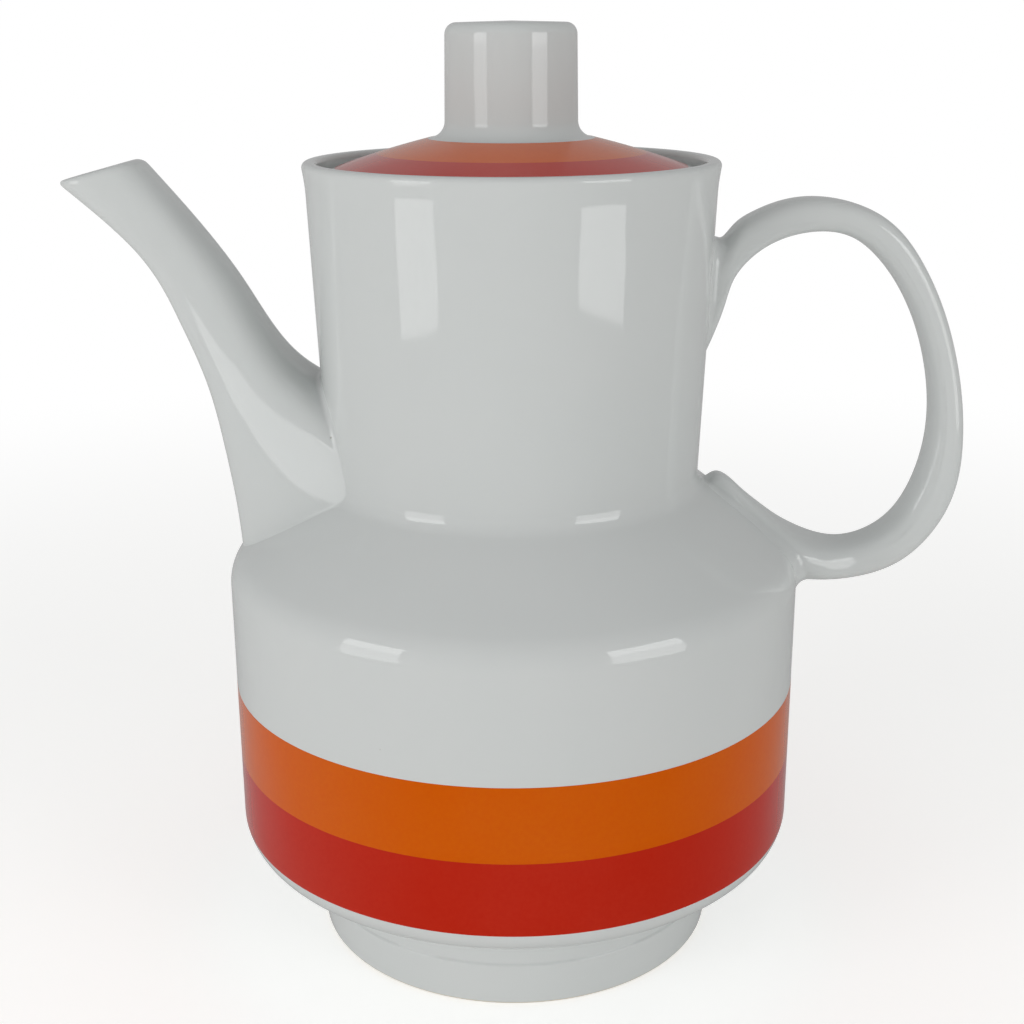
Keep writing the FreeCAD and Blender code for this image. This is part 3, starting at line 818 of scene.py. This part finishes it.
HANDLE_ROOT = [
    (36.1, 24.8, 28.5, 24.8, 5.6),
    (33.3, 8.5, 24.6, 11.5, 5.8),
    (24.4, -2.3, 18.8, 4.7, 6.2),
    (12.9, -6.3, 9.6, 1.7, 7.2),
    (0.5, -5.8, -0.2, 4.4, 10.6),
    (-12.0, -3.0, -7.5, 9.7, 7.0),
    (-17.0, 3.0, -12.6, 14.0, 5.4),
    (-20.0, 7.0, -16.2, 17.1, 4.6),
    (-23.0, 8.5, -18.6, 17.5, 4.0),
    (-26.0, 9.0, -21.5, 14.8, 3.6),
]
handle_skin = Skin(np.vstack([
    placed(HANDLE_TOP, RIM_RADIUS, RIM_TOP, 1),
    placed(HANDLE_ROOT, BELLY_RADIUS, SHOULDER_EDGE, 1),
]), HANDLE_SQUARENESS)


def root_crease(skin, columns):
    """Angles and distances of points spread along the crease where the tube's end meets the pot."""
    ends = emerging(skin, np.array([0, math.pi]), False)
    trail = np.linspace(ends[0], ends[1], CREASE_STEPS)[1:-1]
    half_turn = np.linspace(0, math.pi, CREASE_ANGLES)
    along, around = np.meshgrid(trail, half_turn, indexing="ij")
    distance = off_the_pot(skin.at(along, around))[0]
    crease = [(0, ends[0])]
    for place, row in zip(trail, distance):
        out = np.flatnonzero(row > 0)[0]
        if out > 0:
            share = row[out - 1] / (row[out - 1] - row[out])
            crease.append((half_turn[out - 1] + share * half_turn[1], place))
    crease = np.array(crease + [(math.pi, ends[1])])
    spots = skin.at(crease[:, 1], crease[:, 0])
    length = np.concatenate([[0], np.cumsum(np.linalg.norm(np.diff(spots, axis=0), axis=1))])
    even = length / length[-1] + crease[:, 0] / math.pi
    marks = np.linspace(0, even[-1], columns // 2 + 1)
    angle = np.interp(marks, even, crease[:, 0])
    place = np.interp(marks, even, crease[:, 1])
    around = np.concatenate([angle, 2 * math.pi - angle[-2:0:-1]])
    return around, np.concatenate([place, place[-2:0:-1]])


handle_around, end_along = root_crease(handle_skin, HANDLE_COLUMNS)
top_along = emerging(handle_skin, handle_around, True)
steps = np.linspace(-1, 1, HANDLE_ROWS)[:, None]
steps = (1 + np.sign(steps) * (1 - (1 - np.abs(steps)) ** END_CROWDING)) / 2
handle_along = top_along + (end_along - top_along) * steps
handle_around = np.broadcast_to(handle_around, handle_along.shape)
handle_points = handle_skin.at(handle_along, handle_around)
seam = np.interp(handle_points[..., 0], SEAM_PLACES, [TONGUE_SEAM, TONGUE_BACK_SEAM, SHOULDER_SEAM])
seam = np.where(handle_points[..., 2] > NECK_SEAM_FOOT, NECK_SEAM, seam)
handle_rows = with_seam(handle_skin, handle_along, handle_around, seam)
handle_rows = np.concatenate([[sunk(handle_rows[0])], handle_rows, [sunk(handle_rows[-1])]])
handle = grid_piece("handle_glazed", handle_rows, False)
handle.data.materials.append(PORCELAIN)
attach(handle, "pot")
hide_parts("handle")


# Lid
# Cast porcelain lid: a low dome with a rounded edge, a flat seat and a centring flange below. It drops into
# the rim and rests on the ledge there; a small lug on the flange keeps it in while pouring.
lid_low, lid_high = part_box("lid_cover")
LID_SEAT_GAP = 0.2            # the lid is drawn this far above the ledge
LID_BOTTOM = LEDGE_TOP + LID_SEAT_GAP
LID_RADIUS = lid_high.y / MM
LID_EDGE_HEIGHT = 2.9
LID_EDGE_TOP = LID_BOTTOM + LID_EDGE_HEIGHT
LID_EDGE_ROUNDING = 1.3
LID_WALL = 4.0
LID_INSIDE_DROP = 2.0         # the inside falls this much more than the dome towards the flange
DOME_FOOT = (37.0, 174.75)
DOME_MIDDLE = (28.5, 177.55)
DOME_TOP = (18.0, 180.45)
DOME_STEPS = 24
FLANGE_BOTTOM = lid_low.z / MM
FLANGE_RADIUS = 35.4
FLANGE_WALL = 3.0
FLANGE_EDGE = 1.0
VENT_RADIUS = 2.0             # of the hole into the knob, for the firing
VENT_RISE = 0.3               # from the dome's top to the hole


def arc_through(first, middle, last, steps):
    """Points of the arc through three points."""
    first, middle, last = np.array(first), np.array(middle), np.array(last)
    system = 2 * np.array([middle - first, last - first])
    centre = np.linalg.solve(system, [middle @ middle - first @ first, last @ last - first @ first])
    start = math.atan2(*(first - centre)[::-1])
    end = math.atan2(*(last - centre)[::-1])
    angles = np.linspace(start, end, steps)
    return centre + np.linalg.norm(first - centre) * np.column_stack([np.cos(angles), np.sin(angles)])


dome = arc_through(DOME_FOOT, DOME_MIDDLE, DOME_TOP, DOME_STEPS)
lid_edge = rounded([
    (FLANGE_RADIUS - FLANGE_WALL, FLANGE_BOTTOM + FLANGE_WALL, 0),
    (FLANGE_RADIUS - FLANGE_WALL, FLANGE_BOTTOM, FLANGE_EDGE),
    (FLANGE_RADIUS, FLANGE_BOTTOM, FLANGE_EDGE),
    (FLANGE_RADIUS, LID_BOTTOM, LEDGE_EDGE),
    (LID_RADIUS, LID_BOTTOM, LEDGE_EDGE),
    (LID_RADIUS, LID_EDGE_TOP, LID_EDGE_ROUNDING),
    DOME_FOOT + (0,),
])
lid_inside = rounded([
    (DOME_TOP[0], DOME_TOP[1], 0),
    (VENT_RADIUS, DOME_TOP[1] + VENT_RISE, 0),
    (VENT_RADIUS, DOME_TOP[1] - LID_WALL, 0),
    (DOME_TOP[0], DOME_TOP[1] - LID_WALL, LID_WALL),
    (FLANGE_RADIUS - FLANGE_WALL, DOME_MIDDLE[1] - LID_WALL - LID_INSIDE_DROP, FLANGE_WALL),
    (FLANGE_RADIUS - FLANGE_WALL, FLANGE_BOTTOM + 2 * FLANGE_WALL, 0),
])
lid_outline = np.vstack([lid_edge, dome[1:-1], lid_inside])
lid_cover = turned("lid_cover_glazed", lid_outline, PORCELAIN, closed=True)
lid_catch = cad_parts["lid_catch"]
lid_catch.data.materials.clear()
lid_catch.data.materials.append(PORCELAIN)
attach(lid_cover, "lid")
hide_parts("lid_cover")


# Lid rings
# Fired enamel in the two band colours, painted round the dome on the same turntable: red outside and orange
# inside, with a narrow white edge left round them.
RED_RING_RADIUS = 37.2
ORANGE_RING_RADIUS = 28.4
RING_INNER_RADIUS = 17.6
EDGE_POINTS = 5               # points of the lid's edge next to the dome
DOME_RUN_ON = (-1.0, 0.25)    # the dome runs on under the knob's foot by this
dome_end = np.array(DOME_TOP) + DOME_RUN_ON
dome_line = np.vstack([lid_edge[:-1][-EDGE_POINTS:], dome, dome_end])
red_stretch = stretch(dome_line, 0, ORANGE_RING_RADIUS, RED_RING_RADIUS)
orange_stretch = stretch(dome_line, 0, RING_INNER_RADIUS, ORANGE_RING_RADIUS)
red_ring = painted_on("lid_red_ring_enamel", red_stretch, RED)
orange_ring = painted_on("lid_orange_ring_enamel", orange_stretch, ORANGE)
for ring, node, slot in [
    (red_ring, "lid_red_ring", "red_enamel"),
    (orange_ring, "lid_orange_ring", "orange_enamel"),
]:
    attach(ring, "lid")
    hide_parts(node)


# Lid knob
# A cast porcelain knob, very slightly tapered, luted on the middle of the dome with slip. The glaze rounds
# its top edge and fills a hollow round its foot.
KNOB_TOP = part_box("lid_knob")[1].z / MM
KNOB_RADIUS = 14.05
KNOB_TAPER = 0.35
KNOB_EDGE = 2.4
KNOB_CROWN = 0.35             # the top is this much higher in its middle
KNOB_FOOT_ROUNDING = 3.4
KNOB_FOOT_RADIUS = 18.2
KNOB_FOOT_HEIGHT = 180.42
KNOB_FOOT_EDGE = 0.4          # thickness of the foot's rim
KNOB_FOOT_RISE = 0.9          # from the foot's rim to the knob's side
KNOB_SUNK = 1.0               # the middle of the foot lies this deep in the lid
knob_outline = rounded([
    (0, KNOB_FOOT_HEIGHT - KNOB_SUNK, 0),
    (KNOB_FOOT_RADIUS, KNOB_FOOT_HEIGHT - KNOB_FOOT_EDGE, 0),
    (KNOB_FOOT_RADIUS, KNOB_FOOT_HEIGHT, 0),
    (KNOB_RADIUS, KNOB_FOOT_HEIGHT + KNOB_FOOT_RISE, KNOB_FOOT_ROUNDING),
    (KNOB_RADIUS - KNOB_TAPER, KNOB_TOP - KNOB_CROWN, KNOB_EDGE),
    (0, KNOB_TOP, 0),
])
lid_knob = turned("lid_knob_glazed", knob_outline, PORCELAIN)
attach(lid_knob, "lid")
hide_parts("lid_knob")


# Stage
# A wide pale table top that fades to white, white surroundings, lamps like windows on the left and right of
# the camera, brighter in their upper parts, a soft fill on the left, and a grey dome for the reflections.
WHITE = linear("#FFFFFF")
FLOOR_SIZE = 6000.0
FLOOR_GREY = "#F0F0EE"
FLOOR_GLOW = 0.44             # light that the eye sees in the table top beside what falls on it
FLOOR_LIGHT = 0.21            # the table top is lit from below and throws this light up at the pot
FLOOR_FADE = (180.0, 600.0)   # the table top turns white between these distances from the pot
floor = new_piece("floor", [
    (-FLOOR_SIZE, -FLOOR_SIZE, 0), (FLOOR_SIZE, -FLOOR_SIZE, 0), (FLOOR_SIZE, FLOOR_SIZE, 0),
    (-FLOOR_SIZE, FLOOR_SIZE, 0),
], (), [(0, 1, 2, 3)])


def seen_directly(tree):
    """1 for camera, glossy and transmission rays, 0 for the light that falls on the pot."""
    rays = add_node(tree, "ShaderNodeLightPath", {}, {})
    either = add_node(tree, "ShaderNodeMath", {"operation": "MAXIMUM"}, {
        0: (rays, "Is Camera Ray"), 1: (rays, "Is Glossy Ray"),
    })
    return add_node(tree, "ShaderNodeMath", {"operation": "MAXIMUM"}, {
        0: (either, 0), 1: (rays, "Is Transmission Ray"),
    })


def table_top():
    """Matt pale table top that takes the pot's shadow and turns white further off."""
    finish, tree, place = new_finish("pale_table_top")
    seen = seen_directly(tree)
    distance = add_node(tree, "ShaderNodeVectorMath", {"operation": "LENGTH"}, {0: place})
    far = add_node(tree, "ShaderNodeMapRange", {"interpolation_type": "SMOOTHSTEP"}, {
        "Value": (distance, "Value"), "From Min": FLOOR_FADE[0], "From Max": FLOOR_FADE[1],
    })
    near_glow = add_node(tree, "ShaderNodeMapRange", {"interpolation_type": "SMOOTHSTEP"}, {
        "Value": (distance, "Value"), "From Min": FLOOR_FADE[0], "From Max": FLOOR_FADE[1],
        "To Min": FLOOR_LIGHT, "To Max": 0.0,
    })
    glow_level = add_node(tree, "ShaderNodeMix", {"data_type": "FLOAT"}, {
        0: (seen, 0), 2: (near_glow, "Result"), 3: FLOOR_GLOW,
    })
    matt = add_node(tree, "ShaderNodeBsdfDiffuse", {}, {"Color": linear(FLOOR_GREY)})
    glow = add_node(tree, "ShaderNodeEmission", {}, {"Color": WHITE, "Strength": (glow_level, 0)})
    both = add_node(tree, "ShaderNodeAddShader", {}, {0: (matt, "BSDF"), 1: (glow, "Emission")})
    faded = add_node(tree, "ShaderNodeMath", {"operation": "MULTIPLY"}, {0: (far, "Result"), 1: (seen, 0)})
    white = add_node(tree, "ShaderNodeEmission", {}, {"Color": WHITE, "Strength": 1.0})
    fading = add_node(tree, "ShaderNodeMixShader", {}, {
        0: (faded, 0), 1: (both, "Shader"), 2: (white, "Emission"),
    })
    add_node(tree, "ShaderNodeOutputMaterial", {}, {"Surface": (fading, "Shader")})
    return finish


floor.visible_glossy = False
floor.data.materials.append(table_top())

SURROUND_LIGHT = (0.27, 0.53)   # light from the horizon and from straight above
world = bpy.data.worlds.new("white_surroundings")
bpy.context.scene.world = world
world.use_nodes = True
sky = world.node_tree
sky.nodes.clear()
shown = add_node(sky, "ShaderNodeBackground", {}, {"Color": WHITE, "Strength": 1.0})
bearing = add_node(sky, "ShaderNodeTexCoord", {}, {})
upright = add_node(sky, "ShaderNodeSeparateXYZ", {}, {"Vector": (bearing, "Generated")})
level = add_node(sky, "ShaderNodeMapRange", {}, {
    "Value": (upright, "Z"), "To Min": SURROUND_LIGHT[0], "To Max": SURROUND_LIGHT[1],
})
falling = add_node(sky, "ShaderNodeBackground", {}, {"Color": WHITE, "Strength": (level, "Result")})
split = add_node(sky, "ShaderNodeMixShader", {}, {
    0: (seen_directly(sky), 0), 1: (falling, "Background"), 2: (shown, "Background"),
})
add_node(sky, "ShaderNodeOutputWorld", {}, {"Surface": (split, "Shader")})

LAMP_DISTANCE = 800.0
LAMPS = [                     # name, bearing off the camera, width, foot, top, brightness, seen in the glaze
    ("left_window_lamp", math.radians(-53.0), 330.0, -62.0, 230.0, 1.9, True),
    ("left_upper_lamp", math.radians(-53.0), 330.0, 230.0, 430.0, 3.2, True),
    ("right_window_lamp", math.radians(50.0), 400.0, -32.0, 230.0, 2.3, True),
    ("right_upper_lamp", math.radians(50.0), 400.0, 230.0, 430.0, 3.6, True),
    ("left_fill_lamp", math.radians(-47.0), 700.0, 0.0, 450.0, 1.3, False),
]
for name, aside, width, foot, top, brightness, glossy in LAMPS:
    lamp = bpy.data.lights.new(name, "AREA")
    lamp.shape = "RECTANGLE"
    lamp.size = width * MM
    lamp.size_y = (top - foot) * MM
    lamp.energy = brightness * math.pi * lamp.size * lamp.size_y
    holder = bpy.data.objects.new(name, lamp)
    bpy.context.scene.collection.objects.link(holder)
    out = Vector((math.sin(aside), -math.cos(aside), 0))
    holder.location = out * (LAMP_DISTANCE * MM) + Vector((0, 0, (foot + top) / 2 * MM))
    holder.rotation_euler = (-out).to_track_quat("-Z", "Y").to_euler()
    holder.visible_camera = False
    holder.visible_glossy = glossy

# A grey dome round the set, which only reflections see: dark in front and below, lighter above and behind.
CLOTH_RADIUS = 1500.0
CLOTH_RINGS = 16
CLOTH_SIDES = 48
CLOTH_GLOW = (0.02, 0.47)     # at its darkest and at its lightest
CLOTH_FADE = (-0.75, 1.0)     # how far the dome lies along the bright way at those, as a share of its radius
CLOTH_BRIGHT_WAY = (-0.2, 0.9, 0.4)
cloth_points = []
cloth_faces = []
for ring in range(CLOTH_RINGS + 1):
    polar = math.pi * ring / CLOTH_RINGS
    width = CLOTH_RADIUS * math.sin(polar)
    for side in range(CLOTH_SIDES):
        turn = 2 * math.pi * side / CLOTH_SIDES
        cloth_points.append((width * math.cos(turn), width * math.sin(turn), CLOTH_RADIUS * math.cos(polar)))
        following = (side + 1) % CLOTH_SIDES
        upper, lower = ring * CLOTH_SIDES, (ring + 1) * CLOTH_SIDES
        if ring < CLOTH_RINGS:
            cloth_faces.append((upper + side, upper + following, lower + following, lower + side))
grey_dome = new_piece("grey_dome", cloth_points, (), cloth_faces)
cloth, cloth_tree, cloth_place = new_finish("grey_cloth")
bright_way = tuple(share / CLOTH_RADIUS for share in CLOTH_BRIGHT_WAY)
along_way = add_node(cloth_tree, "ShaderNodeVectorMath", {"operation": "DOT_PRODUCT"}, {
    0: cloth_place, 1: bright_way,
})
cloth_level = add_node(cloth_tree, "ShaderNodeMapRange", {}, {
    "Value": (along_way, "Value"), "From Min": CLOTH_FADE[0], "From Max": CLOTH_FADE[1],
    "To Min": CLOTH_GLOW[0], "To Max": CLOTH_GLOW[1],
})
cloth_glow = add_node(cloth_tree, "ShaderNodeEmission", {}, {
    "Color": WHITE, "Strength": (cloth_level, "Result"),
})
add_node(cloth_tree, "ShaderNodeOutputMaterial", {}, {"Surface": (cloth_glow, "Emission")})
grey_dome.data.materials.append(cloth)
grey_dome.visible_camera = False
grey_dome.visible_diffuse = False
grey_dome.visible_transmission = False
grey_dome.visible_shadow = False


# Camera
# Where the photograph was taken from: in front of the pot, as high as the knob's top and looking down a
# little, with the spout on the left and the handle on the right.
CAMERA_BACK = 331.2
CAMERA_HEIGHT = 202.1
CAMERA_PITCH = math.radians(17.452)
CAMERA_ROLL = -0.005
CAMERA_LENS = 53.89
CAMERA_SHIFT = -0.0013
CAMERA_SENSOR = 36.0
camera_data = bpy.data.cameras.new("photo_camera")
camera_data.lens = CAMERA_LENS
camera_data.sensor_width = CAMERA_SENSOR
camera_data.shift_x = CAMERA_SHIFT
camera = bpy.data.objects.new("photo_camera", camera_data)
bpy.context.scene.collection.objects.link(camera)
camera.location = (0, -CAMERA_BACK * MM, CAMERA_HEIGHT * MM)
tilt = Euler((math.pi / 2 - CAMERA_PITCH, 0, 0)).to_quaternion()
camera.rotation_mode = "QUATERNION"
camera.rotation_quaternion = tilt @ Quaternion((0, 0, 1), CAMERA_ROLL)
bpy.context.scene.camera = camera
bpy.context.scene.view_settings.view_transform = "Standard"
